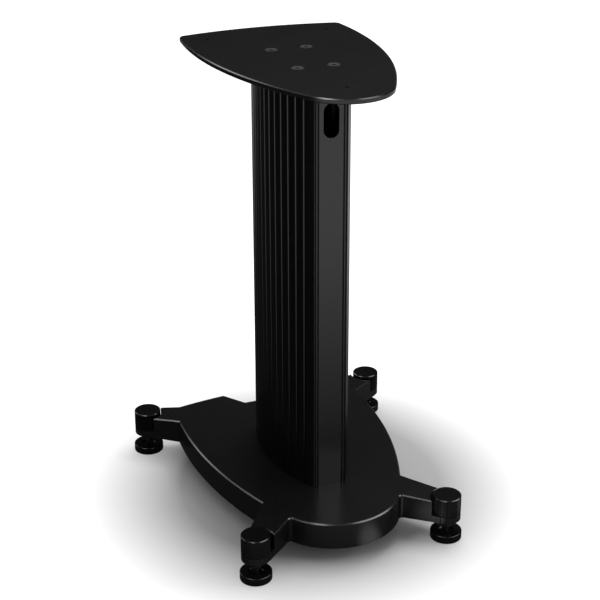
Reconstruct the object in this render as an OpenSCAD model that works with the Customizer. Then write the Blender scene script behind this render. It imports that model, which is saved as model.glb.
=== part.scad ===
// Loudspeaker stand: lute shaped top plate, fluted column, four armed base plate
// with levelling feet. Millimetres, +Z up, floor at z = 0, wide front edge
// towards -Y, rounded nose towards +Y, symmetric about the YZ plane.

/* [Overall] */
// Height from the floor to the top face of the top plate
stand_h = 610; // [560:1:700]
// Height of the base plate's top face above the floor
base_top = 59.5; // [56:0.5:62]

/* [Top plate] */
// Greatest width of the top plate
top_w = 233; // [200:1:260]
// Distance of the front edge from the stand's centre
top_front = 170.5; // [150:0.5:190]
// Distance of the widest place in front of the centre
top_widest = 85; // [60:1:110]
// Radius of the bowed sides
top_side_r = 520; // [480:1:700]
// Radius of the rounded nose
top_nose_r = 60; // [45:1:80]
// Radius of the bowed front edge
top_bow_r = 480; // [350:1:800]
// Radius of the two front corners
top_corner_r = 10; // [5:0.5:20]
// Thickness of the top plate
top_t = 6.5; // [5.5:0.1:10]
// Chamfer of the top plate's edges
top_edge = 1.2; // [0.4:0.1:1.6]
// Diameter of the three small holes for fastening a speaker
speaker_hole_d = 5.5; // [4:0.1:8]
// Sideways distance of the two front speaker holes from the middle
speaker_hole_x = 82.5; // [60:0.5:95]
// Distance of the front speaker holes in front of the centre
speaker_hole_front = 126.5; // [100:0.5:140]
// Distance of the rear speaker hole behind the centre
speaker_hole_rear = 146; // [120:1:165]

/* [Column] */
// Greatest width of the column
col_w = 106; // [95:1:116]
// Distance of the flat rear panel behind the centre
col_rear = 99; // [90:1:102]
// Distance of the column's front edge from the centre
col_front = 87; // [75:1:92]
// Distance of the column's widest place in front of the centre
col_widest = 8; // [0:1:20]
// Radius of the column's bowed sides
col_side_r = 200; // [185:1:230]
// Radius of the column's bowed front
col_bow_r = 300; // [220:1:500]
// Wall thickness of the extrusion
col_wall = 4; // [3:0.1:6]
// Radius of the narrow grooves between the lands
groove_r = 1.5; // [0.8:0.1:2]
// Angle of the rearmost groove on a bowed side
groove_first = 28; // [27.5:0.1:28.4]
// Angle between two grooves on a bowed side
groove_step = 4; // [3.5:0.1:4]
// Number of grooves on a bowed side
groove_count = 13; // [8:1:13]
// Sideways place of the inner groove beside the rear panel
panel_groove_in = 16.8; // [15:0.1:17.2]
// Sideways place of the outer groove beside the rear panel
panel_groove_out = 20.4; // [20.2:0.1:21]
// Width of the cable slot in the rear panel
slot_w = 20; // [12:0.5:24]
// Length of the cable slot
slot_h = 43; // [30:1:80]
// Distance from the column's top to the middle of the cable slot
slot_drop = 47.2; // [45:0.1:90]

/* [Base plate] */
// Greatest width of the base plate's body
base_w = 274; // [250:1:290]
// Distance of the base plate's front edge from the centre
base_front = 192.4; // [185:0.2:200]
// Distance of the body's widest place in front of the centre
base_widest = 98; // [80:1:110]
// Radius of the body's bowed sides
base_side_r = 560; // [520:1:700]
// Radius of the body's nose
base_nose_r = 90; // [75:1:100]
// Radius of the bowed front edge
base_bow_r = 580; // [450:1:800]
// Thickness of the body
base_t = 35; // [30:0.5:36]
// Chamfer along the body's upper edges
base_edge = 1.6; // [1.6:0.1:2.4]
// Chamfer along the front recess
notch_edge = 1.5; // [1.5:0.01:1.55]
// Width of the front recess at its bottom
notch_w = 60; // [40:1:90]
// Distance of the front recess's bottom from the centre
notch_y = 159; // [150:1:175]
// Width of the shallow bevel along the front recess's bottom
notch_bevel = 7; // [4:0.5:9]
// Depth of that bevel at the recess
notch_drop = 1.2; // [0.8:0.1:1.3]
// Angle of the front recess's sides to the front edge
notch_deg = 54; // [40:1:80]
// Diameter of the cable outlet below the column
outlet_d = 30; // [20:1:34]
// Distance of the cable outlet behind the centre
outlet_y = 12; // [0:1:20]

/* [Arms] */
// Sideways distance of the front feet from the middle
foot_front_x = 170; // [160:1:185]
// Distance of the front feet in front of the centre, and of the rear ones behind it
foot_y = 181; // [170:1:195]
// Sideways distance of the rear feet from the middle
foot_rear_x = 131; // [120:1:145]
// Direction of the front arms, from the foot to the body
front_arm_deg = 155; // [145:1:165]
// Direction of the rear arms, from the foot to the body
rear_arm_deg = 229.3; // [225:0.1:234]
// Angle by which each side of a front arm spreads towards the body
front_arm_spread = 7.5; // [5:0.5:9]
// Angle by which each side of a rear arm spreads towards the body
rear_arm_spread = 6; // [4:0.5:8]
// Radius of the tongue below a knob
tongue_r = 18.4; // [17:0.1:20]
// Distance from a foot's axis to the arm's inner side
arm_inner = 19; // [17:0.1:20]
// Distance from a foot's axis to the arm's outer side
arm_outer = 12.3; // [10:0.1:17]
// Thickness of the tongue
tongue_t = 9.5; // [7:0.5:12]
// Rise of the tongue's underside above the body's underside
tongue_rise = 4; // [2:0.5:7]
// Depth of an arm's root inside the body
arm_root = 45; // [30:1:55]
// Distance from a foot's axis to where the arm's underside meets the tongue's
thin_to = 13.5; // [10:0.5:20]
// Distance from a foot's axis to where the arm's underside starts to rise
thin_from = 72; // [50:1:80]
// Radius of the hollow that the arm's end has round the knob
pocket_r = 29.4; // [26:0.1:34]
// Gap between a knob and the hollow's wall
pocket_gap = 1.9; // [1:0.1:3]
// Chamfer along the arms' upper edges
arm_edge = 1.4; // [1.3:0.01:1.45]
// Chamfer round the hollow's mouth
pocket_edge = 1.2; // [0.5:0.1:1.2]
// Fillet between a rear arm and the body's nose
nose_fillet_r = 4; // [2:0.1:5]
// Fillet between a rear arm and the body's side
side_fillet_r = 2.5; // [1.5:0.1:4]
// Chamfer along the fillets' upper edges
fillet_edge = 1.3; // [1.25:0.01:1.35]

/* [Feet] */
// Diameter of a levelling knob
knob_d = 37; // [30:0.5:40]
// Height of a levelling knob
knob_h = 24.5; // [18:0.5:30]
// Chamfer of the knob's rims
knob_edge = 0.9; // [0.4:0.1:1.5]
// Number of flutes round a knob
knob_flutes = 36; // [24:1:48]
// Radius of a flute
flute_r = 1.1; // [0.6:0.1:1.3]
// Part of its radius by which a flute's axis lies outside the knob
flute_out_share = 0.25; // [0:0.05:0.5]
// Height of the plain rim above the flutes
knob_rim = 1.4; // [1.2:0.1:3]
// Diameter of the levelling screw's thread
spike_d = 10; // [8:1:12]
// Greatest diameter of the spike's cone
cone_d = 16; // [13:0.5:18]
// Part of the height between shoe and tongue that the cone takes
cone_share = 0.6; // [0.4:0.05:0.8]
// Diameter of the small pivot under the cone
pivot_d = 4; // [3:0.5:6]
// Length of the small pivot
pivot_h = 2; // [1.5:0.1:3]
// Diameter of the pin that holds the knob on the spike
knob_pin_d = 8; // [6:0.5:9]
// Part of the knob's height that the pin reaches up to
pin_share = 0.65; // [0.4:0.05:0.8]
// Diameter of a spike shoe
shoe_d = 41; // [34:0.5:46]
// Height of a spike shoe
shoe_h = 10.5; // [9:0.5:12]
// Chamfer of the shoe's rims
shoe_edge = 1; // [0.4:0.1:1.5]
// Diameter of the round recess in the shoe
cup_d = 19; // [17:0.5:24]
// Depth of the round recess in the shoe
cup_h = 2.3; // [1.5:0.1:3]
// Outer diameter of the threaded bush in the tongue
bush_d = 16; // [14:0.5:18]

/* [Fasteners] */
// Thread diameter of the screws in the column
screw_d = 8; // [6:1:8]
// Head diameter of the countersunk screws
csk_head_d = 16; // [14:0.5:18]
// Depth of the countersunk heads below the plate's face
csk_recess = 0.2; // [0.1:0.1:0.5]
// Length of the countersunk screws
csk_len = 26; // [20:1:40]
// Sideways distance of the screws from the middle
screw_x = 23.5; // [20:0.5:27]
// Distance of the screws in front of and behind the centre
screw_y = 47; // [42:0.5:52]
// Wall round a screw channel
boss_wall = 3.5; // [2.5:0.1:5]
// Head diameter of the socket screws below
cap_head_d = 13; // [12:0.5:14]
// Head height of the socket screws below
cap_head_h = 8; // [6:0.5:8.5]
// Grip of the socket screws in the column
cap_grip = 18; // [12:1:25]
// Depth of the socket screws' heads inside the base plate
cap_recess = 2; // [1:0.1:3]
// Outer diameter of the washers
washer_d = 16; // [14.5:0.5:20]
// Thickness of the washers
washer_t = 1.6; // [1:0.1:2]
// Width across the flats of the hexagon sockets
hex_w = 5; // [4:0.5:6]
// Depth of the hexagon sockets
hex_h = 3; // [2:0.1:4]

/* [Fits] */
// Gap all round a turning or sliding shaft
run_gap = 0.05; // [0.02:0.01:0.1]
// Gap between faces that pass or meet without rubbing
face_gap = 0.3; // [0.2:0.05:0.5]
// Gap all round a screw in a through hole
hole_gap = 0.5; // [0.3:0.1:0.8]
// Gap all round a pressed or threaded piece
press_gap = 0.02; // [0.01:0.01:0.05]

/* [Hidden] */

// How far a cutting shape reaches past the face that it cuts
over = 1;
// Heights of the column's two ends and of the base plate's underside
col_z0 = base_top;
col_z1 = stand_h - top_t;
base_z = base_top - base_t;
tongue_z = base_z + tongue_rise;
tongue_top = tongue_z + tongue_t;
// Distance of the hollow's centre beyond the foot
pocket_shift = pocket_r - knob_d / 2 - pocket_gap;
// Heights in a levelling foot, from the shoe up to the knob
pivot_z = shoe_h - cup_h - pivot_h;
cone_z = shoe_h - cup_h + face_gap;
shank_z = cone_z + (tongue_z - cone_z) * cone_share;
knob_z = tongue_top + face_gap;
pin_top = knob_z + knob_h * pin_share;
// Heights of the socket screws' heads and washers
cap_z = base_z + cap_recess;
seat_z = cap_z + cap_head_h + washer_t;
// Angles of the grooves on the column's sides, from the rear to the front
groove_angles = [for (i = [0:groove_count - 1]) groove_first - i * groove_step];
// Foot places, and the screw places of the column
front_left = [foot_front_x, -foot_y];
front_right = [-foot_front_x, -foot_y];
rear_left = [foot_rear_x, foot_y];
rear_right = [-foot_rear_x, foot_y];
screw_places = [for (x = [-screw_x, screw_x], y = [-screw_y, screw_y]) [x, y]];

// Place of the nose's centre, where the nose runs smoothly into the sides
function nose_y(w, widest, side_r, nose_r) =
    sqrt(pow(side_r - nose_r, 2) - pow(side_r - w / 2, 2)) - widest;

// Centre of a circle of radius r that touches the bowed side and the bowed
// front from inside, with a and b the centres of those two bows
function corner_at(a, b, side_r, bow_r, r) =
    let (d = norm(b - a),
         u = (b - a) / d,
         along = (d * d + pow(side_r - r, 2) - pow(bow_r - r, 2)) / (2 * d),
         across = sqrt(pow(side_r - r, 2) - along * along))
    a + along * u + across * [u[1], -u[0]];

// Round disc with chamfered rims
module rim_disc(r, h, edge) {
    rotate_extrude($fn = 360)
        polygon([[0, 0], [r - edge, 0], [r, edge], [r, h - edge], [r - edge, h], [0, h]]);
}

// Round disc with a chamfered upper rim
module top_disc(r, h, edge) {
    rotate_extrude($fn = 360)
        polygon([[0, 0], [r, 0], [r, h - edge], [r - edge, h], [0, h]]);
}

// Slab from z0 up to z1, with its side along X at y = 0 and a chamfer on that side's upper edge
module edge_slab(len, depth, z0, z1, edge) {
    rotate([90, 0, 90])
        linear_extrude(len)
            polygon([[0, z0], [depth, z0], [depth, z1], [edge, z1], [0, z1 - edge]]);
}

// Cutting slab that leaves a bevel, run wide and drop deep, on the upper edge of what stays
module cut_slab(len, depth, z0, z1, run, drop) {
    rotate([90, 0, 90])
        linear_extrude(len)
            polygon([[0, z0], [depth, z0], [depth, z1 + over], [-run * (1 + over / drop), z1 + over],
                     [0, z1 - drop]]);
}

// Top plate outline: bowed front and sides, a round nose and two rounded front corners
module top_blank() {
    side = [top_w / 2 - top_side_r, -top_widest];
    bow = [0, top_bow_r - top_front];
    ny = nose_y(top_w, top_widest, top_side_r, top_nose_r);
    join_y = ny + top_nose_r * (ny + top_widest) / (top_side_r - top_nose_r);
    corner = corner_at(side, bow, top_side_r, top_bow_r, top_corner_r);
    to_side = (corner - side) / norm(corner - side) * 3 * top_corner_r;
    to_bow = (corner - bow) / norm(corner - bow) * 3 * top_corner_r;
    difference() {
        intersection() {
            translate(side) rim_disc(top_side_r, top_t, top_edge);
            mirror([1, 0, 0]) translate(side) rim_disc(top_side_r, top_t, top_edge);
            translate(bow) rim_disc(top_bow_r, top_t, top_edge);
            translate([-top_w / 2, -top_front - over, -over])
                cube([top_w, join_y + top_front + over, top_t + 2 * over]);
        }
        for (s = [0, 1])
            mirror([s, 0, 0])
                translate([0, 0, -over])
                    linear_extrude(top_t + 2 * over)
                        polygon([corner, corner + to_side, corner + to_side + to_bow, corner + to_bow]);
    }
    translate([0, ny, 0]) rim_disc(top_nose_r, top_t, top_edge);
    for (s = [0, 1])
        mirror([s, 0, 0])
            translate(corner) rim_disc(top_corner_r + press_gap, top_t, top_edge);
}

module top_plate() {
    color("#242424")
        translate([0, 0, col_z1])
            difference() {
                top_blank();
                for (p = screw_places)
                    translate(p) {
                        translate([0, 0, -over])
                            cylinder(r = screw_d / 2 + hole_gap, h = top_t + 2 * over, $fn = 64);
                        countersink();
                    }
                for (p = [[speaker_hole_x, -speaker_hole_front], [-speaker_hole_x, -speaker_hole_front],
                          [0, speaker_hole_rear]])
                    translate([p[0], p[1], -over])
                        cylinder(d = speaker_hole_d, h = top_t + 2 * over, $fn = 64);
            }
}

// Cone for a countersunk head, from the plate's face down to the shank's hole
module countersink() {
    rim = csk_head_d / 2 + csk_recess + press_gap;
    throat = screw_d / 2 + hole_gap;
    translate([0, 0, top_t - (rim - throat)])
        rotate_extrude($fn = 64)
            polygon([[0, 0], [throat, 0], [rim, rim - throat], [rim + over, rim - throat + over],
                     [0, rim - throat + over]]);
}

// Column section grown inwards by the wall thickness given
module column_section(inset, z0, z1) {
    side_x = col_w / 2 - col_side_r;
    translate([0, 0, z0])
        intersection() {
            translate([side_x, -col_widest, 0])
                cylinder(r = col_side_r - inset, h = z1 - z0, $fn = 360);
            translate([-side_x, -col_widest, 0])
                cylinder(r = col_side_r - inset, h = z1 - z0, $fn = 360);
            translate([0, col_bow_r - col_front, 0])
                cylinder(r = col_bow_r - inset, h = z1 - z0, $fn = 360);
            translate([-col_w, -col_rear, -over])
                cube([2 * col_w, 2 * col_rear - inset, z1 - z0 + 2 * over]);
        }
}

// Screw channels of the extrusion, each tied to the side wall by a web
module screw_channels(z0, z1) {
    boss_r = screw_d / 2 + boss_wall;
    for (p = screw_places) {
        translate([p[0], p[1], z0])
            cylinder(r = boss_r, h = z1 - z0, $fn = 64);
        translate([p[0] > 0 ? p[0] : p[0] - col_w / 2, p[1] - boss_wall / 2, z0])
            cube([col_w / 2, boss_wall, z1 - z0]);
    }
}

module column() {
    side_x = col_w / 2 - col_side_r;
    slot_z = col_z1 - slot_drop;
    slot_lift = (slot_h - slot_w) / 2;
    color("#1a1a1a")
        difference() {
            column_section(0, col_z0, col_z1);
            difference() {
                column_section(col_wall, col_z0 - over, col_z1 + over);
                screw_channels(col_z0 - 2 * over, col_z1 + 2 * over);
            }
            for (s = [-1, 1]) {
                for (a = groove_angles)
                    translate([s * (side_x + col_side_r * cos(a)), col_side_r * sin(a) - col_widest, col_z0 - over])
                        cylinder(r = groove_r, h = col_z1 - col_z0 + 2 * over, $fn = 32);
                for (x = [panel_groove_in, panel_groove_out])
                    translate([s * x, col_rear, col_z0 - over])
                        cylinder(r = groove_r, h = col_z1 - col_z0 + 2 * over, $fn = 32);
            }
            for (s = [-1, 1])
                translate([0, col_rear - col_wall - over, slot_z + s * slot_lift])
                    rotate([-90, 0, 0])
                        cylinder(d = slot_w, h = col_wall + 2 * over, $fn = 64);
            translate([-slot_w / 2, col_rear - col_wall - over, slot_z - slot_lift])
                cube([slot_w, col_wall + 2 * over, 2 * slot_lift]);
            for (p = screw_places)
                translate([p[0], p[1], col_z0 - over])
                    cylinder(r = screw_d / 2 + press_gap, h = col_z1 - col_z0 + 2 * over, $fn = 64);
        }
}

// Body of the base plate without its arms
module base_blank() {
    side = [base_w / 2 - base_side_r, -base_widest];
    ny = nose_y(base_w, base_widest, base_side_r, base_nose_r);
    join_y = ny + base_nose_r * (ny + base_widest) / (base_side_r - base_nose_r);
    translate([0, 0, base_z]) {
        intersection() {
            translate(side) top_disc(base_side_r, base_t, base_edge);
            mirror([1, 0, 0]) translate(side) top_disc(base_side_r, base_t, base_edge);
            translate([0, base_bow_r - base_front, 0]) top_disc(base_bow_r, base_t, base_edge);
            translate([-base_w / 2, -base_front - over, -over])
                cube([base_w, join_y + base_front + over, base_t + 2 * over]);
        }
        translate([0, ny, 0]) top_disc(base_nose_r, base_t, base_edge);
    }
}

// Distance from a point outside a circle (c, r) to that circle, along the direction d
function way_to(p, d, c, r) =
    let (q = p - c, k = q * d)
    -k - sqrt(k * k - q * q + r * r);

// One arm, from the foot's axis at the origin along +X into the body, len long
module arm(len, spread) {
    reach = len + 2 * tongue_r;
    span = 4 * tongue_r;
    difference() {
        intersection() {
            rotate(-spread)
                translate([-tongue_r, -arm_inner, 0])
                    edge_slab(reach, span, base_z, base_top, arm_edge);
            mirror([0, 1, 0])
                rotate(-spread)
                    translate([-tongue_r, -arm_outer, 0])
                        edge_slab(reach, span, base_z, base_top, arm_edge);
            translate([0, -span / 2, base_z])
                cube([len, span, base_t]);
        }
        arm_taper();
    }
    translate([0, 0, tongue_z]) cylinder(r = tongue_r, h = tongue_t, $fn = 128);
}

// What the arm's underside loses as it thins towards the tongue
module arm_taper() {
    width = 6 * tongue_r;
    translate([0, width / 2, 0])
        rotate([90, 0, 0])
            linear_extrude(width)
                polygon([[-over, base_z - over], [thin_from, base_z - over], [thin_from, base_z],
                         [thin_to, tongue_z], [-over, tongue_z]]);
}

// What the round hollow at an arm's end and the bush's hole take away
module arm_cut() {
    translate([-pocket_shift, 0, 0])
        rotate_extrude($fn = 180)
            polygon([[0, tongue_top], [pocket_r, tongue_top], [pocket_r, base_top - pocket_edge],
                     [pocket_r + pocket_edge + over, base_top + over], [0, base_top + over]]);
    translate([0, 0, tongue_z - over])
        cylinder(d = bush_d, h = tongue_t + 2 * over, $fn = 64);
}

// Vector v turned by the angle a
function turned(v, a) = [v[0] * cos(a) - v[1] * sin(a), v[0] * sin(a) + v[1] * cos(a)];

// Centre of a fillet of radius r between the outside of the circle (c, big_r) and
// the line through p along d, whose outward normal is n
function fillet_at(p, d, n, c, big_r, r) =
    let (q = p + r * n - c, k = q * d)
    p + r * n - (k + sqrt(k * k - q * q + pow(big_r + r, 2))) * d;

// Fills the corner between a line with outward normal n and a circle round c
module fillet(place, n, c, r) {
    to_arc = (c - place) / norm(c - place);
    difference() {
        translate([0, 0, base_z + over])
            linear_extrude(base_t - over)
                polygon([place, place + 4 * r * to_arc, place - 4 * r * n]);
        translate(place)
            rotate_extrude($fn = 96)
                polygon([[0, base_z - over], [r, base_z - over], [r, base_top - fillet_edge],
                         [r + fillet_edge + over, base_top + over], [0, base_top + over]]);
    }
}

// The two fillets of the rear arm on the left
module rear_fillets() {
    side = [base_w / 2 - base_side_r, -base_widest];
    nose = [0, nose_y(base_w, base_widest, base_side_r, base_nose_r)];
    inner_deg = rear_arm_deg - rear_arm_spread;
    outer_deg = rear_arm_deg + rear_arm_spread;
    inner_n = turned([0, -1], inner_deg);
    outer_n = turned([0, 1], outer_deg);
    fillet(fillet_at(rear_left + arm_inner * inner_n, turned([1, 0], inner_deg), inner_n,
                     nose, base_nose_r, nose_fillet_r), inner_n, nose, nose_fillet_r);
    fillet(fillet_at(rear_left + arm_outer * outer_n, turned([1, 0], outer_deg), outer_n,
                     side, base_side_r, side_fillet_r), outer_n, side, side_fillet_r);
}

// Puts a child at each foot, turned to its arm's direction
module at_arms() {
    for (s = [0, 1])
        mirror([s, 0, 0]) {
            translate(front_left) rotate(front_arm_deg) children(0);
            translate(rear_left) rotate(rear_arm_deg) children(1);
        }
}

// Recess in the middle of the front edge
module front_recess() {
    reach = 2 * base_front;
    intersection() {
        translate([reach / 2, -notch_y, 0])
            rotate(180)
                cut_slab(reach, reach, base_z - over, base_top, notch_bevel, notch_drop);
        recess_side(0, reach);
        recess_side(1, reach);
    }
}

// One slanted side of the front recess
module recess_side(s, reach) {
    mirror([s, 0, 0])
        translate([notch_w / 2, -notch_y, 0])
            rotate(180 - notch_deg)
                translate([-reach / 2, 0, 0])
                    cut_slab(reach, reach, base_z - over, base_top, notch_edge, notch_edge);
}

module base_plate() {
    side = [base_w / 2 - base_side_r, -base_widest];
    nose = [0, nose_y(base_w, base_widest, base_side_r, base_nose_r)];
    front_way = way_to(front_left, turned([1, 0], front_arm_deg), side, base_side_r);
    rear_way = way_to(rear_left, turned([1, 0], rear_arm_deg), nose, base_nose_r);
    color("#1d1d1d")
        difference() {
            union() {
                base_blank();
                at_arms() {
                    arm(front_way + arm_root, front_arm_spread);
                    arm(rear_way + arm_root, rear_arm_spread);
                }
                rear_fillets();
                mirror([1, 0, 0]) rear_fillets();
            }
            at_arms() {
                arm_cut();
                arm_cut();
            }
            front_recess();
            translate([0, outlet_y, base_z - over])
                cylinder(d = outlet_d, h = base_t + 2 * over, $fn = 96);
            for (p = screw_places)
                translate([p[0], p[1], base_z - over]) {
                    cylinder(r = screw_d / 2 + hole_gap, h = base_t + 2 * over, $fn = 64);
                    cylinder(r = washer_d / 2 + hole_gap, h = seat_z - base_z + over, $fn = 64);
                }
        }
}

// Hexagon socket, cut upwards from the origin
module hex_socket() {
    cylinder(r = hex_w / 2 / cos(30), h = hex_h + over, $fn = 6);
}

module top_screws() {
    head_h = (csk_head_d - screw_d) / 2;
    head_z = stand_h - csk_recess;
    color("#2e2e2e")
        for (p = screw_places)
            translate([p[0], p[1], head_z])
                difference() {
                    rotate_extrude($fn = 64)
                        polygon([[0, -csk_len], [screw_d / 2, -csk_len], [screw_d / 2, -head_h],
                                 [csk_head_d / 2, 0], [0, 0]]);
                    translate([0, 0, -hex_h]) hex_socket();
                }
}

module base_screws() {
    color("#2e2e2e")
        for (p = screw_places)
            translate([p[0], p[1], cap_z])
                difference() {
                    union() {
                        cylinder(d = cap_head_d, h = cap_head_h, $fn = 64);
                        cylinder(d = screw_d, h = base_top + cap_grip - cap_z, $fn = 64);
                    }
                    translate([0, 0, hex_h])
                        mirror([0, 0, 1])
                            hex_socket();
                }
}

module base_washers() {
    color("#5a5a5a")
        for (p = screw_places)
            translate([p[0], p[1], cap_z + cap_head_h])
                difference() {
                    cylinder(d = washer_d, h = washer_t, $fn = 64);
                    translate([0, 0, -over])
                        cylinder(r = screw_d / 2 + press_gap, h = washer_t + 2 * over, $fn = 64);
                }
}

// Threaded bush in a tongue
module bush(place) {
    color("#6b5a35")
        translate([place[0], place[1], tongue_z])
            difference() {
                cylinder(r = bush_d / 2 - press_gap, h = tongue_t, $fn = 64);
                translate([0, 0, -over])
                    cylinder(r = spike_d / 2 + run_gap, h = tongue_t + 2 * over, $fn = 64);
            }
}

// Levelling knob with flutes below its upper rim
module knob(place) {
    color("#101010")
        translate([place[0], place[1], knob_z])
            difference() {
                rim_disc(knob_d / 2, knob_h, knob_edge);
                for (i = [0:knob_flutes - 1])
                    rotate(i * 360 / knob_flutes)
                        translate([knob_d / 2 + flute_r * flute_out_share, 0, -over])
                            cylinder(r = flute_r, h = knob_h - knob_rim + over, $fn = 24);
                translate([0, 0, -over])
                    cylinder(r = knob_pin_d / 2 + press_gap, h = pin_top - knob_z + face_gap + over, $fn = 48);
            }
}

// Levelling screw: pin for the knob, threaded shank, cone and pivot
module spike(place) {
    color("#3a3a3a")
        translate([place[0], place[1], 0])
            rotate_extrude($fn = 64)
                polygon([[0, pivot_z + run_gap], [pivot_d / 2, pivot_z + run_gap], [pivot_d / 2, cone_z],
                         [cone_d / 2, shank_z], [spike_d / 2, shank_z], [spike_d / 2, knob_z],
                         [knob_pin_d / 2, knob_z], [knob_pin_d / 2, pin_top], [0, pin_top]]);
}

// Spike shoe: thick disc with a round recess and a pivot hole
module shoe(place) {
    color("#141414")
        translate([place[0], place[1], 0])
            difference() {
                rim_disc(shoe_d / 2, shoe_h, shoe_edge);
                translate([0, 0, shoe_h - cup_h])
                    cylinder(d = cup_d, h = cup_h + over, $fn = 96);
                translate([0, 0, pivot_z])
                    cylinder(r = pivot_d / 2 + run_gap, h = pivot_h + over, $fn = 48);
            }
}

base_plate();
column();
top_plate();
top_screws();
base_screws();
base_washers();
bush(front_left);  // bush_front_left
bush(front_right);  // bush_front_right
bush(rear_left);  // bush_rear_left
bush(rear_right);  // bush_rear_right
knob(front_left);  // knob_front_left
knob(front_right);  // knob_front_right
knob(rear_left);  // knob_rear_left
knob(rear_right);  // knob_rear_right
spike(front_left);  // spike_front_left
spike(front_right);  // spike_front_right
spike(rear_left);  // spike_rear_left
spike(rear_right);  // spike_rear_right
shoe(front_left);  // shoe_front_left
shoe(front_right);  // shoe_front_right
shoe(rear_left);  // shoe_rear_left
shoe(rear_right);  // shoe_rear_right
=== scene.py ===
"""Loudspeaker stand: looks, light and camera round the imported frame.

The frame gives every piece its place in metres, with +Z up and the rounded nose towards +Y.
Each sub-assembly is a class that holds its sizes in millimetres, builds what the frame can't
show, and dresses its pieces in a finish that is named for the real material and its making.
"""

import logging
import math
from dataclasses import dataclass, field
from enum import Enum
from typing import Any, Iterable, Sequence

import bmesh
import bpy
from mathutils import Matrix, Vector


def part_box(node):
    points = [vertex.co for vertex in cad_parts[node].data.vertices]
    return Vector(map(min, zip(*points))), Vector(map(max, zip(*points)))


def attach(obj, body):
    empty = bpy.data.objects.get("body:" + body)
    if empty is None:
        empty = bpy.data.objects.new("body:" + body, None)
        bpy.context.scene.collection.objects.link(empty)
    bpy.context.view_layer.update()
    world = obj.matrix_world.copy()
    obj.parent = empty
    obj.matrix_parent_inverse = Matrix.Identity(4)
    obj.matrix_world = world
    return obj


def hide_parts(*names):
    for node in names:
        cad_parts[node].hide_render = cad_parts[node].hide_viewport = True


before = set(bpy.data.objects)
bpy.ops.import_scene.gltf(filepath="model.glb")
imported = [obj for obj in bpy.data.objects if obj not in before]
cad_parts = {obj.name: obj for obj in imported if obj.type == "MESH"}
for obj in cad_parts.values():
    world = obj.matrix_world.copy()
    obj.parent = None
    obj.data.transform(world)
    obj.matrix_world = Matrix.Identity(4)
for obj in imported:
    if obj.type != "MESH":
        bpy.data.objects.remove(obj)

LOG = logging.getLogger("stand")
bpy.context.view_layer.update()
FEET = ("front_left", "front_right", "rear_left", "rear_right")

Pair = tuple[float, float]
Triple = tuple[float, float, float]

MM = 0.001              # a millimetre in metres
MERGE = 0.001 * MM      # points closer than this are one
UP = (0.0, 0.0, 1.0)
WHITE = (1.0, 1.0, 1.0, 1.0)
IN_LINE = 0.999         # least cosine between two directions that count as the same
DIE_LINES = 0.004       # a die line is drawn 250 times as long as it is wide
NOISE_SUM = (0.6, 1.4)  # the sum of two noises mostly lies between these
FIRST_BOUNCE = 1.5      # a ray's glossy depth is below this in its first reflection


def linear(hex_colour: str) -> tuple[float, float, float, float]:
    """Turns an sRGB hex colour into linear RGBA.

    Args:
        hex_colour: Six hex digits after a #.

    Returns:
        Red, green, blue and an alpha of 1, all linear.
    """
    parts = (int(hex_colour[i:i + 2], 16) / 255 for i in (1, 3, 5))
    # The sRGB standard's own curve
    red, green, blue = (p / 12.92 if p <= 0.04045 else ((p + 0.055) / 1.055) ** 2.4 for p in parts)
    return (red, green, blue, 1.0)


def add(tree: bpy.types.NodeTree, kind: str, links: dict[Any, Any] | None = None,
        **settings: Any) -> bpy.types.Node:
    """Adds one node with its settings, values and links.

    Args:
        tree: Node tree that gets the node.
        kind: Node type's identifier, without the leading "ShaderNode".
        links: Input name or number, and the value or output socket for it.
        **settings: The node's own properties.

    Returns:
        The new node.
    """
    node = tree.nodes.new("ShaderNode" + kind)
    for name, value in settings.items():
        setattr(node, name, value)
    for name, value in (links or {}).items():
        if isinstance(value, bpy.types.NodeSocket):
            tree.links.new(value, node.inputs[name])
        else:
            node.inputs[name].default_value = value
    return node


class Grain(Enum):
    """How a surface's fine marks run."""

    BLASTED = "even grain without a direction"
    EXTRUDED = "die lines along the height"
    TURNED = "fine rings round an axis"
    COATED = "soft pebbles of powder coat"


# How many finer octaves each grain's noise gets
DETAIL = {Grain.BLASTED: 3.0, Grain.EXTRUDED: 3.0, Grain.TURNED: 2.0, Grain.COATED: 1.0}
# The same for the slow changes in sheen, and how ragged these are
CLOUDS = {"Detail": 4.0, "Roughness": 0.6}


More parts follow.
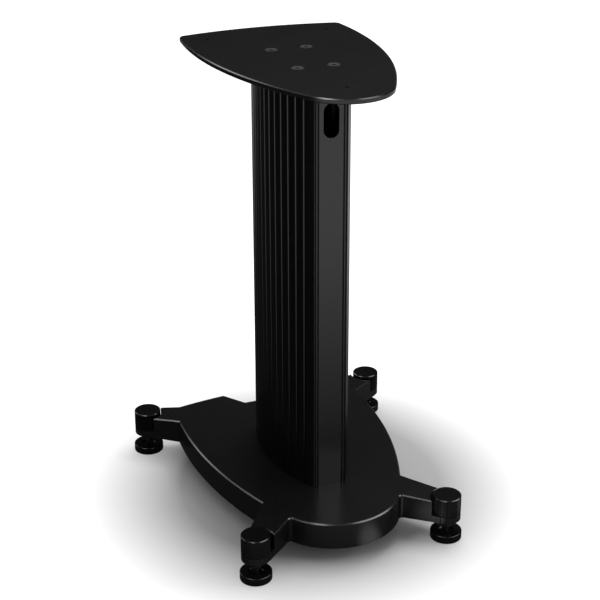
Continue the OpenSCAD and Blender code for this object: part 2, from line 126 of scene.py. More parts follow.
@dataclass(frozen=True)
class Finish:
    """One finish of the stand, from its real material and process.

    Attributes:
        name: The material's name.
        colour: Its mean colour, as sRGB hex.
        grain: How its fine marks run.
        grain_mm: Size of the marks as drawn.
        roughness: Its mean roughness.
        metallic: 1 for bare metal, 0 for paint and for dyed anodising.
        ior: How strongly a coat mirrors.
        colour_spread: How far the marks take the colour up and down, as a share of it.
        roughness_spread: How far the marks take the roughness up and down.
        relief_mm: Height of the marks.
        cloud_mm: Size of the slow changes in sheen.
    """

    name: str
    colour: str
    grain: Grain
    grain_mm: float
    roughness: float
    metallic: float = 0.0
    ior: float = 1.5
    colour_spread: float = 0.12
    roughness_spread: float = 0.03
    relief_mm: float = 0.01
    cloud_mm: float = 60.0

    def pattern(self, tree: bpy.types.NodeTree, axis: Sequence[float]) -> bpy.types.NodeSocket:
        """Adds the fine marks.

        Args:
            tree: The material's node tree.
            axis: Place of the turning axis in metres, for rings.

        Returns:
            Output with the marks' height, from 0 to 1.
        """
        place = add(tree, "TexCoord").outputs["Object"]
        if self.grain is Grain.TURNED:
            moved = add(tree, "VectorMath", {0: place, 1: (axis[0], axis[1], 0.0)},
                        operation="SUBTRACT").outputs[0]
            flat = add(tree, "VectorMath", {0: moved, 1: (1.0, 1.0, 0.0)},
                       operation="MULTIPLY").outputs[0]
            reach = add(tree, "VectorMath", {0: flat}, operation="LENGTH").outputs["Value"]
            height = add(tree, "SeparateXYZ", {0: moved}).outputs["Z"]
            place = add(tree, "CombineXYZ", {"X": reach, "Y": height}).outputs[0]
        elif self.grain is Grain.EXTRUDED:
            place = add(tree, "Mapping", {"Vector": place,
                                          "Scale": (1.0, 1.0, DIE_LINES)}).outputs[0]
        return add(tree, "TexNoise", {"Vector": place, "Scale": 1 / (self.grain_mm * MM),
                                      "Detail": DETAIL[self.grain]}).outputs["Fac"]

    def material(self, axis: Sequence[float] = (0.0, 0.0), tag: str = "") -> bpy.types.Material:
        """Builds the material.

        Args:
            axis: Place of the turning axis in metres, for rings.
            tag: Added to the name where the same finish is centred on several pieces.

        Returns:
            The material.
        """
        made = bpy.data.materials.new(self.name + tag)
        made.use_nodes = True
        tree = made.node_tree
        tree.nodes.clear()
        marks = self.pattern(tree, axis)
        place = add(tree, "TexCoord").outputs["Object"]
        clouds = add(tree, "TexNoise", {"Vector": place, "Scale": 1 / (self.cloud_mm * MM),
                                        **CLOUDS}).outputs["Fac"]
        dark, light = (tuple(c * share for c in linear(self.colour)[:3]) + (1.0,)
                       for share in (1 - self.colour_spread, 1 + self.colour_spread))
        # A Mix node's colours are its inputs 6 and 7 and its output 2
        tone = add(tree, "Mix", {0: marks, 6: dark, 7: light}, data_type="RGBA").outputs[2]
        both = add(tree, "Math", {0: marks, 1: clouds}, operation="ADD").outputs[0]
        rough = add(tree, "MapRange", {"Value": both,
                                       "From Min": NOISE_SUM[0], "From Max": NOISE_SUM[1],
                                       "To Min": self.roughness - self.roughness_spread,
                                       "To Max": self.roughness + self.roughness_spread}).outputs[0]
        relief = add(tree, "Bump", {"Height": marks, "Distance": self.relief_mm * MM,
                                    "Strength": 1.0}).outputs[0]
        shader = add(tree, "BsdfPrincipled", {"Base Color": tone, "Roughness": rough,
                                              "Metallic": self.metallic, "IOR": self.ior,
                                              "Normal": relief}).outputs[0]
        add(tree, "OutputMaterial", {"Surface": shader})
        return made


# On all these finishes but the powder coat the real marks are about 0.1 mm across. That is too
# fine to show, so they are drawn 0.35 to 0.8 mm across.

# Bead blasted, black dyed anodising on aluminium plate: an even, soft sheen over near black
BLACK_PLATE = Finish("anodised_aluminium_blasted", "#131313", Grain.BLASTED, 0.7, 0.235, ior=1.55)
# Anodised extrusion: die lines along the height stretch its reflections
BLACK_PROFILE = Finish("anodised_aluminium_extruded", "#050505", Grain.EXTRUDED, 0.5, 0.22,
                       ior=1.55)
# Powder coat on steel: soft pebbles about 1 mm across and a broad, dull reflection
BLACK_COAT = Finish("powder_coat_on_steel", "#151515", Grain.COATED, 1.1, 0.24)
# Turned and anodised knobs and shoes: fine rings, bright at the chamfers
BLACK_TURNED = Finish("anodised_aluminium_turned", "#0a0a0a", Grain.TURNED, 0.35, 0.22)
# Black oxide on turned steel: thin, oily and a little brown
BLACK_OXIDE = Finish("black_oxide_steel", "#3a3937", Grain.TURNED, 0.4, 0.45, metallic=0.6)
# The same on the screws, but lighter than black oxide is: painted sheen that stands in for the
# heads' highlights, so that they stand out from the plate
SCREW_HEADS_PAINTED_SHEEN = Finish("black_oxide_screw_heads", "#565552", Grain.TURNED, 0.4, 0.42, metallic=1.0)
# The column's inside as it left the die: dull, dark and never polished
BLACK_INSIDE = Finish("anodised_extrusion_inside", "#0a0a0a", Grain.EXTRUDED, 0.5, 0.6, ior=1.55)
# Zinc plated washers, seen only from below: pale, cool and a little cloudy
ZINC = Finish("zinc_plated_steel", "#8f9297", Grain.BLASTED, 0.8, 0.35, metallic=1.0)
# Turned brass bushes, seen only from below: warm, with fine rings
BRASS = Finish("turned_brass", "#8c7440", Grain.TURNED, 0.4, 0.34, metallic=1.0)


def dress(node: str, material: bpy.types.Material) -> None:
    """Gives a frame node its material.

    Args:
        node: The frame node's name.
        material: What its slots get.
    """
    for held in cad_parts[node].material_slots:
        held.material = material
    LOG.info("%s: %s", node, material.name)


def merged(node: str) -> bmesh.types.BMesh:
    """Copies a frame node's loose triangles into one joined shape.

    Args:
        node: The frame node's name.

    Returns:
        The joined copy.
    """
    shape = bmesh.new()
    shape.from_mesh(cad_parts[node].data)
    bmesh.ops.remove_doubles(shape, verts=shape.verts, dist=2 * MERGE)
    return shape


def round_over(shape: bmesh.types.BMesh, edges: Iterable[bmesh.types.BMEdge], width_mm: float,
               segments: int = 3) -> None:
    """Rounds edges over.

    Args:
        shape: The shape that has the edges.
        edges: The edges to round.
        width_mm: Where the rounding begins, measured from the edge.
        segments: Facets across the rounding.
    """
    bmesh.ops.bevel(shape, geom=list(edges), offset=width_mm * MM, offset_type="OFFSET",
                    affect="EDGES", segments=segments, profile=0.5, material=-1,
                    clamp_overlap=False)


def upright(shape: bmesh.types.BMesh, least_deg: float,
            least_mm: float) -> list[bmesh.types.BMEdge]:
    """Finds the upright outward corners of a shape.

    Args:
        shape: The shape to search.
        least_deg: The least turn between the two faces.
        least_mm: The least height.

    Returns:
        The edges found.
    """
    found = []
    for edge in shape.edges:
        way = edge.verts[1].co - edge.verts[0].co
        if edge.is_manifold and edge.is_convex and way.length > least_mm * MM:
            sharp = edge.calc_face_angle() > math.radians(least_deg)
            if sharp and abs(way.z) > IN_LINE * way.length:
                found.append(edge)
    return found


def turn(shape: bmesh.types.BMesh, outline_mm: Sequence[Pair], centre: Vector,
         steps: int = 72) -> None:
    """Turns an outline into a round solid, as on a lathe.

    Args:
        shape: The shape that gets the solid.
        outline_mm: Radius and height of the outline's corners, from axis to axis.
        centre: A point on the axis, in metres.
        steps: Facets round the axis.
    """
    corners = [shape.verts.new((centre.x + reach * MM, centre.y, height * MM))
               for reach, height in outline_mm]
    rims = [shape.edges.new(pair) for pair in zip(corners, corners[1:])]
    bmesh.ops.spin(shape, geom=corners + rims, cent=centre, axis=UP, angle=math.tau, steps=steps,
                   use_merge=True)
    bmesh.ops.remove_doubles(shape, verts=shape.verts, dist=MERGE)


def finished(name: str, shape: bmesh.types.BMesh | bpy.types.Mesh, body: str, node: str,
             material: bpy.types.Material, crease_deg: float = 30.0) -> bpy.types.Object:
    """Makes a finished piece out of a shape and puts it in place of its frame node.

    Args:
        name: The piece's name.
        shape: Its mesh, or the bmesh to make it from.
        body: The frame body that it rides on.
        node: The frame node that it stands for.
        material: Its finish.
        crease_deg: The least turn that stays a crease when the sheen is evened.

    Returns:
        The piece.
    """
    if isinstance(shape, bpy.types.Mesh):
        mesh = shape
    else:
        bmesh.ops.recalc_face_normals(shape, faces=shape.faces)
        mesh = bpy.data.meshes.new(name)
        shape.to_mesh(mesh)
        shape.free()
    mesh.name = name
    # The frame's own normals belong to its loose triangles, and no longer fit
    if "custom_normal" in mesh.attributes:
        mesh.attributes.remove(mesh.attributes["custom_normal"])
    mesh.materials.clear()
    mesh.materials.append(material)
    mesh.shade_smooth()
    mesh.set_sharp_from_angle(angle=math.radians(crease_deg))
    held = bpy.data.objects.new(name, mesh)
    bpy.context.scene.collection.objects.link(held)
    evened = held.modifiers.new("evened_sheen", "WEIGHTED_NORMAL")
    evened.keep_sharp = True
    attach(held, body)
    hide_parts(node)
    LOG.info("%s: %d faces, %s", name, len(mesh.polygons), material.name)
    return held


@dataclass
class Column:
    """The ribbed extrusion, with its grooves' lips rounded as the die leaves them.

    Attributes:
        side_r: Radius of the bowed sides.
        side_x: How far each side's centre lies beyond the middle plane.
        side_y: The centres' place along Y.
        rear_y: Place of the flat rear panel.
        groove_r: Radius of a groove in the frame.
        groove_slack: How far outside that radius a groove's points are still its own.
        first_deg: Direction of a side's rearmost groove, seen from the side's centre.
        step_deg: Turn from one groove to the next.
        count: Grooves on each side.
        panel_x: Places of the fine grooves on each half of the rear panel.
        bottom_z: Height of the lower end.
        top_z: Height of the upper end.
        lip: Rounding of a side groove's lips.
        half_slit: Half the width of a side groove's slit.
        depth: Depth of a side groove's slit.
        panel_lip: Rounding of a panel groove's lips.
        panel_half_slit: Half the width of a panel groove's slit.
        panel_depth: Depth of a panel groove's slit.
        lip_facets: Facets across a rounded lip.
        over: How far the grooves' cutters stand out of the column.
        corner: Rounding of the two rear corners.
        corner_facets: Facets across it.
        corner_deg: The least turn of a rear corner.
        corner_height: The least height of a rear corner.
        corner_y: How far in front of the panel a rear corner may lie.
        slot_edge: Rounding of the cable slot's rim.
        slot_deg: The least turn of the slot's rim.
        slot_half_x: The slot's rim lies within this of the middle plane.
        slot_below: The slot's rim lies at least this far below the upper end.
        flush: How far off the panel its own points may lie.
        inside_x: Half the width of what has the inside's finish.
        shaded: How far below the panel that finish begins.
    """

    side_r: float = 200.0
    side_x: float = 147.0
    side_y: float = -8.0
    rear_y: float = 99.0
    groove_r: float = 1.5
    groove_slack: float = 0.03
    first_deg: float = 28.0
    step_deg: float = 4.0
    count: int = 13
    panel_x: Pair = (16.8, 20.4)
    bottom_z: float = 59.5
    top_z: float = 603.5
    lip: float = 1.9
    half_slit: float = 0.7
    depth: float = 2.6
    panel_lip: float = 0.5
    panel_half_slit: float = 1.0
    panel_depth: float = 2.2
    lip_facets: int = 5
    over: float = 0.6
    corner: float = 1.3
    corner_facets: int = 4
    corner_deg: float = 20.0
    corner_height: float = 400.0
    corner_y: float = 1.0
    slot_edge: float = 0.5
    slot_deg: float = 60.0
    slot_half_x: float = 11.0
    slot_below: float = 5.0
    flush: float = 0.01
    inside_x: float = 21.9
    shaded: float = 1.0

    def mouths(self) -> list[tuple[Vector, Vector]]:
        """Places the grooves' mouths.

        Returns:
            Each mouth's middle and its outward direction, in metres.
        """
        rearward = Vector((0.0, 1.0, 0.0))
        found = []
        for side in (-1.0, 1.0):
            centre = Vector((-side * self.side_x, self.side_y, 0.0)) * MM
            for number in range(self.count):
                angle = math.radians(self.first_deg - number * self.step_deg)
                way = Vector((side * math.cos(angle), math.sin(angle), 0.0))
                found.append((centre + way * self.side_r * MM, way))
            found += [(Vector((side * x, self.rear_y, 0.0)) * MM, rearward) for x in self.panel_x]
        return found

    def closed_over(self) -> bmesh.types.BMesh:
        """Copies the frame's column and presses each groove flat, on to the line of its lips.

        Returns:
            The column with plain sides.
        """
        shape = merged("column")
        reach = (self.groove_r + self.groove_slack) * MM
        for middle, way in self.mouths():
            held = [v for v in shape.verts if (v.co.xy - middle.xy).length < reach]
            across = Vector((-way.y, way.x, 0.0))
            lips = sorted(held, key=lambda v: (v.co - middle).dot(across))
            low, high = lips[0].co.copy(), lips[-1].co.copy()
            chord = (high - low).xy.normalized()
            for vert in held:
                flat = low.xy + chord * (vert.co.xy - low.xy).dot(chord)
                vert.co.x, vert.co.y = flat
        bmesh.ops.dissolve_degenerate(shape, edges=shape.edges, dist=MERGE)
        return shape

    def router(self, lip: float, half_slit: float, depth: float) -> bmesh.types.BMesh:
        """Makes one groove's cutter round the origin, with its outward side towards +Y.

        Half of its outline is drawn, mirrored and filled, and then drawn out along the height.

        Args:
            lip: Rounding of the lips.
            half_slit: Half of the slit's width.
            depth: Depth of the slit.

        Returns:
            The closed cutter.
        """
        shape = bmesh.new()
        low = (self.bottom_z - self.over) * MM
        wide = (lip + half_slit) * MM
        top = shape.verts.new((0.0, self.over * MM, low))
        side = shape.verts.new((wide, self.over * MM, low))
        lip_start = shape.verts.new((wide, 0.0, low))
        shape.edges.new((top, side))
        shape.edges.new((side, lip_start))
        rounded = bmesh.ops.spin(shape, geom=[lip_start], cent=(wide, -lip * MM, low), axis=UP,
                                 angle=math.radians(90), steps=self.lip_facets)
        last = next(e for e in rounded["geom_last"] if isinstance(e, bmesh.types.BMVert))
        floor_side = shape.verts.new((half_slit * MM, -depth * MM, low))
        floor = shape.verts.new((0.0, -depth * MM, low))
        shape.edges.new((last, floor_side))
        shape.edges.new((floor_side, floor))
        bmesh.ops.mirror(shape, geom=shape.verts[:] + shape.edges[:], axis="X",
                         merge_dist=10 * MERGE)
        bmesh.ops.remove_doubles(shape, verts=shape.verts, dist=MERGE)
        bmesh.ops.contextual_create(shape, geom=shape.edges[:])
        grown = bmesh.ops.extrude_face_region(shape, geom=shape.faces[:])
        raised = [v for v in grown["geom"] if isinstance(v, bmesh.types.BMVert)]
        height = (self.top_z - self.bottom_z + 2 * self.over) * MM
        bmesh.ops.translate(shape, verts=raised, vec=(0.0, 0.0, height))
        bmesh.ops.recalc_face_normals(shape, faces=shape.faces)
        return shape

    def cutters(self) -> bpy.types.Object:
        """Gathers a cutter at every groove.

        Returns:
            One object that holds them all.
        """
        mesh = bpy.data.meshes.new("groove_cutters")
        gathered = bmesh.new()
        for middle, way in self.mouths():
            if way.y > IN_LINE:
                shape = self.router(self.panel_lip, self.panel_half_slit, self.panel_depth)
            else:
                shape = self.router(self.lip, self.half_slit, self.depth)
            angle = math.atan2(way.y, way.x) - math.pi / 2
            place = Matrix.Translation(middle) @ Matrix.Rotation(angle, 4, "Z")
            bmesh.ops.transform(shape, matrix=place, verts=shape.verts)
            shape.to_mesh(mesh)
            shape.free()
            gathered.from_mesh(mesh)
        gathered.to_mesh(mesh)
        gathered.free()
        held = bpy.data.objects.new("groove_cutters", mesh)
        bpy.context.scene.collection.objects.link(held)
        return held

    def on_slot_rim(self, edge: bmesh.types.BMEdge) -> bool:
        """Tells whether an edge belongs to the cable slot's rim.

        Args:
            edge: The edge.

        Returns:
            True on the rim.
        """
        if not edge.is_manifold or edge.calc_face_angle() <= math.radians(self.slot_deg):
            return False
        return all(abs(v.co.y - self.rear_y * MM) < self.flush * MM
                   and abs(v.co.x) < self.slot_half_x * MM
                   and v.co.z < (self.top_z - self.slot_below) * MM for v in edge.verts)

    def routed(self, shape: bmesh.types.BMesh) -> bpy.types.Mesh:
        """Cuts the grooves.

        Args:
            shape: The column with plain sides, which is used up.

        Returns:
            The grooved column's mesh.
        """
        mesh = bpy.data.meshes.new("column_plain")
        shape.to_mesh(mesh)
        shape.free()
        plain = bpy.data.objects.new("column_plain", mesh)
        bpy.context.scene.collection.objects.link(plain)
        grooves = plain.modifiers.new("grooves", "BOOLEAN")
        grooves.operation, grooves.solver, grooves.object = "DIFFERENCE", "EXACT", self.cutters()
        seen = plain.evaluated_get(bpy.context.evaluated_depsgraph_get())
        result = bpy.data.meshes.new_from_object(seen)
        bpy.data.objects.remove(grooves.object)
        bpy.data.objects.remove(plain)
        return result

    def build(self, material: bpy.types.Material, inside: bpy.types.Material) -> bpy.types.Object:
        """Builds the column and dresses it.

        Args:
            material: Its finish.
            inside: The finish of what shows through the slot and in the panel's grooves.

        Returns:
            The piece.
        """
        shape = self.closed_over()
        corners = [e for e in upright(shape, self.corner_deg, self.corner_height)
                   if e.verts[0].co.y > (self.rear_y - self.corner_y) * MM]
        round_over(shape, corners, self.corner, self.corner_facets)
        round_over(shape, [e for e in shape.edges if self.on_slot_rim(e)], self.slot_edge)
        held = finished("column_extrusion", self.routed(shape), "stand", "column",
                        material)
        # The second slot holds the inside's finish
        held.data.materials.append(inside)
        for face in held.data.polygons:
            behind = 0 < face.center.y < (self.rear_y - self.shaded) * MM
            if behind and abs(face.center.x) < self.inside_x * MM:
                face.material_index = 1
        return held


@dataclass
class BasePlate:
    """The thick plate, with its upright corners eased.

    Attributes:
        corner: Rounding of the corners.
        least_deg: The least turn of a corner that is eased.
        least_height: The least height of a corner that is eased.
    """

    corner: float = 0.9
    least_deg: float = 28.0
    least_height: float = 4.0

    def build(self, material: bpy.types.Material) -> bpy.types.Object:
        """Builds the plate and dresses it.

        Args:
            material: Its finish.

        Returns:
            The piece.
        """
        shape = merged("base_plate")
        round_over(shape, upright(shape, self.least_deg, self.least_height), self.corner)
        return finished("base_plate_eased", shape, "stand", "base_plate",
                        material)


@dataclass
class Foot:
    """One levelling foot: shoe, threaded spike with its cone, bush and knob.

    Outlines give radius and height, from the lower end up, or for the shoe round its section.

    Attributes:
        name: The foot's corner of the stand.
        tip: The spike's pivot, cone and shoulder.
        core_z: Heights between which the spike is its thread's core.
        core_r: The core's radius.
        shank: The spike's plain end in the knob.
        thread_r: The thread's outer radius.
        thread_pitch: Its rise per turn.
        thread_from: Height of its first turn.
        thread_turns: How many turns it has.
        thread_steps: Facets to a turn.
        flank: The ridge's foot and crest, as shares of the pitch on both sides of its middle.
        sunk: How far the ridge's foot lies inside the core.
        fade: How far each end of the ridge sinks towards the axis.
        shoe_outline: The shoe's section, with its recess and the pivot's seat.
        shoe_steps: Facets round the shoe.
        shoe_crease_deg: The least turn that stays a crease on the shoe.
        centre: A point on the foot's axis, in metres.
    """

    name: str
    tip: tuple[Pair, ...] = ((0, 6.25), (1.6, 6.25), (2, 6.65), (2, 8.5), (7.5, 19.5),
                             (7.95, 20.1), (7.85, 20.4), (7.5, 20.5), (5.0, 20.5))
    core_z: Pair = (21.1, 37.9)
    core_r: float = 4.2
    shank: tuple[Pair, ...] = ((4.0, 38.2), (4.0, 53.7), (3.5, 54.2), (0, 54.2))
    thread_r: float = 4.95
    thread_pitch: float = 1.5
    thread_from: float = 21.2
    thread_turns: int = 11
    thread_steps: int = 24
    flank: Pair = (0.475, 0.07)
    sunk: float = 0.2
    fade: float = 0.7
    shoe_outline: tuple[Pair, ...] = ((0, 0), (19.4, 0), (20.2, 0.3), (20.5, 1.1), (20.5, 9.4),
                                      (20.35, 10.0), (20.0, 10.35), (19.4, 10.5), (9.9, 10.5),
                                      (9.6, 10.4), (9.5, 10.1), (9.5, 8.5), (9.2, 8.2),
                                      (2.4, 8.2), (2.05, 7.85), (2.05, 6.2), (0, 6.2))
    shoe_steps: int = 96
    shoe_crease_deg: float = 40.0
    centre: Vector = field(init=False)

    def __post_init__(self) -> None:
        """Finds the foot's axis from its shoe."""
        low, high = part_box("shoe_" + self.name)
        self.centre = Vector(((low.x + high.x) / 2, (low.y + high.y) / 2, 0.0))

    def spike(self, material: bpy.types.Material) -> bpy.types.Object:
        """Turns the spike and cuts its thread.

        Args:
            material: Its finish.

        Returns:
            The piece.
        """
        shape = bmesh.new()
        core = tuple((self.core_r, height) for height in self.core_z)
        turn(shape, self.tip + core + self.shank, self.centre)
        self.thread(shape)
        return finished("spike_threaded_" + self.name, shape, "screw_" + self.name,
                        "spike_" + self.name, material)

    def thread(self, shape: bmesh.types.BMesh) -> None:
        """Winds the thread's ridge round the core, fading out at both ends.

        Args:
            shape: The shape that gets the ridge.
        """
        inside = self.core_r - self.sunk
        foot, crest = (share * self.thread_pitch for share in self.flank)
        ridge = ((inside, -foot), (self.thread_r, -crest), (self.thread_r, crest), (inside, foot))
        corners = [shape.verts.new((self.centre.x + reach * MM, self.centre.y,
                                    (self.thread_from + height) * MM))
                   for reach, height in ridge]
        rims = [shape.edges.new(pair) for pair in zip(corners, corners[1:] + corners[:1])]
        wound = bmesh.ops.spin(shape, geom=corners + rims, cent=self.centre, axis=UP,
                               dvec=(0, 0, self.thread_pitch * MM / self.thread_steps),
                               angle=math.tau * self.thread_turns,
                               steps=self.thread_steps * self.thread_turns)
        last = [v for v in wound["geom_last"] if isinstance(v, bmesh.types.BMVert)]
        for end in (corners, last):
            inward = self.centre - sum((v.co for v in end), Vector()) / len(end)
            inward.z = 0.0
            bmesh.ops.translate(shape, verts=end, vec=inward.normalized() * self.fade * MM)
            bmesh.ops.contextual_create(shape, geom=end)

    def shoe(self, material: bpy.types.Material) -> bpy.types.Object:
        """Turns the shoe.

        Args:
            material: Its finish.

        Returns:
            The piece.
        """
        shape = bmesh.new()
        turn(shape, self.shoe_outline, self.centre, self.shoe_steps)
        return finished("shoe_turned_" + self.name, shape, "foot_" + self.name,
                        "shoe_" + self.name, material, self.shoe_crease_deg)

    def build(self) -> None:
        """Builds the foot's pieces and dresses them all."""
        turned = BLACK_TURNED.material(self.centre, "_" + self.name)
        self.shoe(turned)
        self.spike(BLACK_OXIDE.material(self.centre, "_" + self.name))
        dress("knob_" + self.name, turned)
        dress("bush_" + self.name, BRASS.material(self.centre, "_" + self.name))


@dataclass(frozen=True)
class SoftBox:
    """A soft light that shows only in reflections, by the direction it is seen in.

    Attributes:
        azimuth_deg: Its direction round the stand, from +X towards +Y.
        height_deg: Its height above the horizon.
        reach_deg: Radius of its even middle.
        soft_deg: Width of its fading rim.
        strength: Its strength, where 1 is white.
        twice: Whether a reflection of a reflection shows it too.
    """

    azimuth_deg: float
    height_deg: float
    reach_deg: float
    soft_deg: float
    strength: float
    twice: bool = True

    def way(self) -> Vector:
        """Gives the direction from the stand to the light."""
        azimuth, height = math.radians(self.azimuth_deg), math.radians(self.height_deg)
        return Vector((math.cos(azimuth) * math.cos(height), math.sin(azimuth) * math.cos(height),
                       math.sin(height)))


@dataclass(frozen=True)
class BrightSide:
    """A side of the floor that is bright in reflections, and brighter with distance.

    Attributes:
        way: Direction from the stand to that side.
        near: Distance in metres at which it begins.
        far: Distance in metres at which it is brightest.
        strength: Its strength there, where 1 is white.
    """

    way: Triple
    near: float
    far: float
    strength: float


@dataclass(frozen=True)
class Lamp:
    """One soft lamp.

    Attributes:
        name: Its name.
        place: Its place in metres.
        aim: The point that it faces, in metres.
        size: Width of its square face in metres.
        power: Its power in watts.
    """

    name: str
    place: Triple
    aim: Triple
    size: float
    power: float

    def build(self) -> None:
        """Hangs the lamp."""
        data = bpy.data.lights.new(self.name, "AREA")
        data.shape, data.energy = "RECTANGLE", self.power
        data.size, data.size_y = self.size, self.size
        held = bpy.data.objects.new(self.name, data)
        bpy.context.scene.collection.objects.link(held)
        held.location = Vector(self.place)
        held.rotation_euler = (Vector(self.aim) - held.location).to_track_quat("-Z", "Y").to_euler()


@dataclass
class Studio:
    """Camera, floor, world and lamps.

    The stand's black surfaces show what they mirror more than what lights them. Reflections
    therefore see a dark floor with bright sides, and soft boxes in a dim room, while the camera
    sees white. Distances on the floor are in metres.

    Attributes:
        place_mm: The camera's place.
        yaw_deg: Its turn from straight ahead.
        pitch_deg: Its tilt downwards.
        lens_mm: Its focal length.
        shift: Its lens shift, as shares of the picture's width.
        clip: How far it sees, in metres.
        floor_size: Width of the floor in metres.
        paper: The floor's colour, which the lamps and the stand's shadow fall on; it is grey, so it
            adds painted shade round the stand.
        shade_centre: Middle of the oval round the stand where the floor isn't lifted to white.
        shade_size: The oval's radii.
        shade_fade: Where the lift begins and ends, in those radii.
        shade_lift: How much light it adds.
        floor_dark: How bright the rest of the floor is in reflections.
        bright_sides: The floor's bright sides in reflections.
        bright_spots: Middles of small bright spots in reflections.
        spot_fade: Radii between which a spot fades.
        spot_strength: A spot's strength.
        room: How bright the room's walls are in reflections.
        dome: How bright its ceiling is in reflections.
        dome_fade: Heights of a direction between which wall turns to ceiling.
        fill: How bright the world is where it lights the stand.
        backdrop: How bright it is behind the stand.
        boxes: The soft boxes.
        lamps: The lamps.
    """

    place_mm: Triple = (626.4, 1656.0, 1068.5)
    yaw_deg: float = 21.012
    pitch_deg: float = 21.829
    lens_mm: float = 88.41
    shift: Pair = (-0.0155, -0.09)
    clip: float = 100.0
    floor_size: float = 60.0
    paper: str = "#aeaeae"
    shade_centre: Triple = (-0.015, -0.01, 0.0)
    shade_size: Pair = (0.17, 0.18)
    shade_fade: Pair = (1.05, 2.1)
    shade_lift: float = 0.95
    floor_dark: float = 0.02
    bright_sides: tuple[BrightSide, ...] = (BrightSide((0.05, 0.998, 0.0), 0.18, 1.0, 1.0),
                                            BrightSide((-0.95, -0.3, 0.0), 0.15, 1.0, 0.5))
    bright_spots: tuple[Triple, ...] = ((-0.052, 0.234, 0.0), (-0.235, 0.205, 0.0))
    spot_fade: Pair = (0.01, 0.05)
    spot_strength: float = 0.8
    room: float = 0.01
    dome: float = 0.15
    dome_fade: Pair = (0.6, 0.7)
    fill: float = 0.6
    backdrop: float = 1.0
    # The first two light the base plate's left rim, the third and fourth its nose and the top
    # plate's front, the fifth the rims on the right, and the last the rear panel's foot
    boxes: tuple[SoftBox, ...] = (SoftBox(-56, 27, 8, 5, 4.0, twice=False),
                                  SoftBox(-33, 35, 4, 5, 2.5, twice=False),
                                  SoftBox(-2, 64, 8, 5, 9.0),
                                  SoftBox(42, 61, 7, 4, 6.0),
                                  SoftBox(147, 48, 16, 6, 4.5),
                                  SoftBox(111, 30, 12, 6, 3.5))
    lamps: tuple[Lamp, ...] = (Lamp("key_light", (-0.5, -0.5, 2.2), (0.0, 0.0, 0.2), 1.2, 28.0),
                               Lamp("side_light", (-1.7, 0.7, 0.8), (0.0, 0.0, 0.15), 0.9, 10.0),
                               Lamp("edge_light", (0.8, 0.1, 2.43), (0.0, 0.1, 0.6), 0.4, 1.5))

    def camera(self) -> None:
        """Puts the camera where the photograph was taken from."""
        data = bpy.data.cameras.new("camera")
        data.lens, data.shift_x, data.shift_y = self.lens_mm, *self.shift
        data.clip_end = self.clip
        held = bpy.data.objects.new("camera", data)
        bpy.context.scene.collection.objects.link(held)
        yaw, pitch = math.radians(self.yaw_deg), math.radians(self.pitch_deg)
        ahead = Vector((-math.sin(yaw) * math.cos(pitch), -math.cos(yaw) * math.cos(pitch),
                        -math.sin(pitch)))
        right = Vector((-math.cos(yaw), math.sin(yaw), 0.0))
        axes = Matrix((right, right.cross(ahead), -ahead)).transposed()
        held.matrix_world = Matrix.Translation(Vector(self.place_mm) * MM) @ axes.to_4x4()
        bpy.context.scene.camera = held

    def floor(self) -> None:
        """Makes the white floor, which keeps the stand's shadow and has painted shade round it."""
        shape = bmesh.new()
        bmesh.ops.create_grid(shape, x_segments=1, y_segments=1, size=self.floor_size / 2)
        mesh = bpy.data.meshes.new("floor")
        shape.to_mesh(mesh)
        shape.free()
        held = bpy.data.objects.new("floor", mesh)
        bpy.context.scene.collection.objects.link(held)
        # Matt paper that the camera sees lifted to white away from the stand: no sheen, and a soft
        # shadow that fades into the white, partly the lamps' shadow and partly painted shade where
        # the grey paper isn't lifted
        made = bpy.data.materials.new("white_paper_floor")
        made.use_nodes = True
        tree = made.node_tree
        tree.nodes.clear()
        rays = add(tree, "LightPath")
        place = add(tree, "TexCoord").outputs["Object"]
        page = self.page(tree, rays, place)
        shine = add(tree, "Emission", {"Color": WHITE,
                                       "Strength": self.mirrored(tree, place)}).outputs[0]
        both = add(tree, "MixShader", {0: rays.outputs["Is Glossy Ray"], 1: page,
                                       2: shine}).outputs[0]
        add(tree, "OutputMaterial", {"Surface": both})
        mesh.materials.append(made)

    def straight(self, tree: bpy.types.NodeTree, rays: bpy.types.Node) -> bpy.types.NodeSocket:
        """Adds the test for the camera's own rays and those that it sends through glass.

        Args:
            tree: The node tree.
            rays: Its Light Path node.

        Returns:
            Output that is 1 for those rays and 0 for all others.
        """
        return add(tree, "Math", {0: rays.outputs["Is Camera Ray"],
                                  1: rays.outputs["Is Transmission Ray"]},
                   operation="MAXIMUM").outputs[0]

    def page(self, tree: bpy.types.NodeTree, rays: bpy.types.Node,
             place: bpy.types.NodeSocket) -> bpy.types.NodeSocket:
        """Adds the floor as the camera sees it: grey near the stand, where the lamps' shadow and
        painted shade both show, and white farther off.

        Args:
            tree: The floor's node tree.
            rays: Its Light Path node.
            place: Output with the place on the floor.

        Returns:
            The shader's output.
        """
        off = add(tree, "VectorMath", {0: place, 1: self.shade_centre},
                  operation="SUBTRACT").outputs[0]
        wide, deep = self.shade_size
        shares = add(tree, "VectorMath", {0: off, 1: (1 / wide, 1 / deep, 0.0)},
                     operation="MULTIPLY").outputs[0]
        reach = add(tree, "VectorMath", {0: shares}, operation="LENGTH").outputs["Value"]
        far = add(tree, "MapRange", {"Value": reach,
                                     "From Min": self.shade_fade[0],
                                     "From Max": self.shade_fade[1],
                                     "To Min": 0.0, "To Max": self.shade_lift}).outputs[0]
        # Inside the oval there is no lift, so the grey paper shows there as painted shade round the
        # stand
        lift = add(tree, "Math", {0: far, 1: self.straight(tree, rays)},
                   operation="MULTIPLY").outputs[0]
        paper = add(tree, "BsdfDiffuse", {"Color": linear(self.paper)}).outputs[0]
        light = add(tree, "Emission", {"Color": WHITE, "Strength": lift}).outputs[0]
        return add(tree, "AddShader", {0: paper, 1: light}).outputs[0]

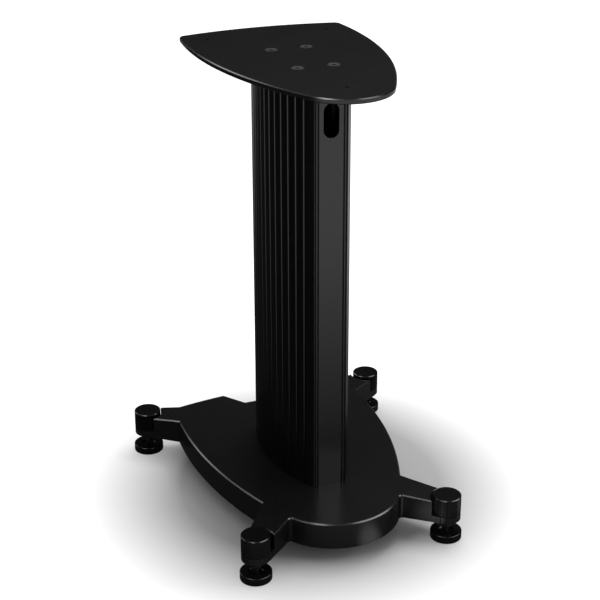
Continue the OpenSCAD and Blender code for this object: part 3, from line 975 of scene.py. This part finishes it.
    def mirrored(self, tree: bpy.types.NodeTree,
                 place: bpy.types.NodeSocket) -> bpy.types.NodeSocket:
        """Adds the floor's brightness as reflections see it.

        Args:
            tree: The floor's node tree.
            place: Output with the place on the floor.

        Returns:
            Output with the brightness.
        """
        seen = self.floor_dark
        for side in self.bright_sides:
            along = add(tree, "VectorMath", {0: place, 1: side.way},
                        operation="DOT_PRODUCT").outputs["Value"]
            glow = add(tree, "MapRange", {"Value": along,
                                          "From Min": side.near, "From Max": side.far,
                                          "To Min": self.floor_dark,
                                          "To Max": side.strength}).outputs[0]
            seen = add(tree, "Math", {0: seen, 1: glow}, operation="MAXIMUM").outputs[0]
        for spot in self.bright_spots:
            beside = add(tree, "VectorMath", {0: place, 1: spot},
                         operation="DISTANCE").outputs["Value"]
            glow = add(tree, "MapRange", {"Value": beside,
                                          "From Min": self.spot_fade[0],
                                          "From Max": self.spot_fade[1],
                                          "To Min": self.spot_strength, "To Max": 0.0},
                       interpolation_type="SMOOTHSTEP").outputs[0]
            seen = add(tree, "Math", {0: seen, 1: glow}, operation="MAXIMUM").outputs[0]
        return seen

    def world(self) -> None:
        """Makes a white backdrop and, for reflections, a dim room with soft boxes."""
        world = bpy.data.worlds.new("studio")
        bpy.context.scene.world = world
        world.use_nodes = True
        tree = world.node_tree
        tree.nodes.clear()
        rays = add(tree, "LightPath")
        way = add(tree, "TexCoord").outputs["Generated"]
        height = add(tree, "SeparateXYZ", {0: way}).outputs["Z"]
        seen = add(tree, "MapRange", {"Value": height,
                                      "From Min": self.dome_fade[0],
                                      "From Max": self.dome_fade[1],
                                      "To Min": self.room, "To Max": self.dome},
                   interpolation_type="SMOOTHSTEP").outputs[0]
        once = add(tree, "Math", {0: rays.outputs["Glossy Depth"], 1: FIRST_BOUNCE},
                   operation="LESS_THAN").outputs[0]
        for box in self.boxes:
            facing = add(tree, "VectorMath", {0: way, 1: box.way()},
                         operation="DOT_PRODUCT").outputs["Value"]
            middle, rim = (math.cos(math.radians(angle))
                           for angle in (box.reach_deg, box.reach_deg + box.soft_deg))
            glow = add(tree, "MapRange", {"Value": facing, "From Min": rim, "From Max": middle,
                                          "To Min": 0.0, "To Max": box.strength},
                       interpolation_type="SMOOTHSTEP").outputs[0]
            if not box.twice:
                glow = add(tree, "Math", {0: glow, 1: once}, operation="MULTIPLY").outputs[0]
            seen = add(tree, "Math", {0: seen, 1: glow}, operation="MAXIMUM").outputs[0]
        # A Mix node's plain numbers are its inputs 2 and 3
        plain = add(tree, "Mix", {0: self.straight(tree, rays), 2: self.fill, 3: self.backdrop},
                    data_type="FLOAT").outputs[0]
        level = add(tree, "Mix", {0: rays.outputs["Is Glossy Ray"], 2: plain, 3: seen},
                    data_type="FLOAT").outputs[0]
        sky = add(tree, "Background", {"Color": WHITE, "Strength": level}).outputs[0]
        add(tree, "OutputWorld", {"Surface": sky})

    def build(self) -> None:
        """Sets up the whole studio."""
        self.camera()
        self.floor()
        self.world()
        for lamp in self.lamps:
            lamp.build()
        bpy.context.scene.view_settings.view_transform = "Standard"


def main() -> None:
    """Builds the scene in order."""
    logging.basicConfig(level=logging.INFO, format="%(name)s: %(message)s")
    Studio().build()
    BasePlate().build(BLACK_PLATE.material())
    Column().build(BLACK_PROFILE.material(), BLACK_INSIDE.material())
    dress("top_plate", BLACK_COAT.material())
    heads = SCREW_HEADS_PAINTED_SHEEN.material()
    dress("top_screws", heads)
    dress("base_screws", heads)
    dress("base_washers", ZINC.material())
    for foot in FEET:
        Foot(foot).build()


if __name__ == "__main__":
    main()
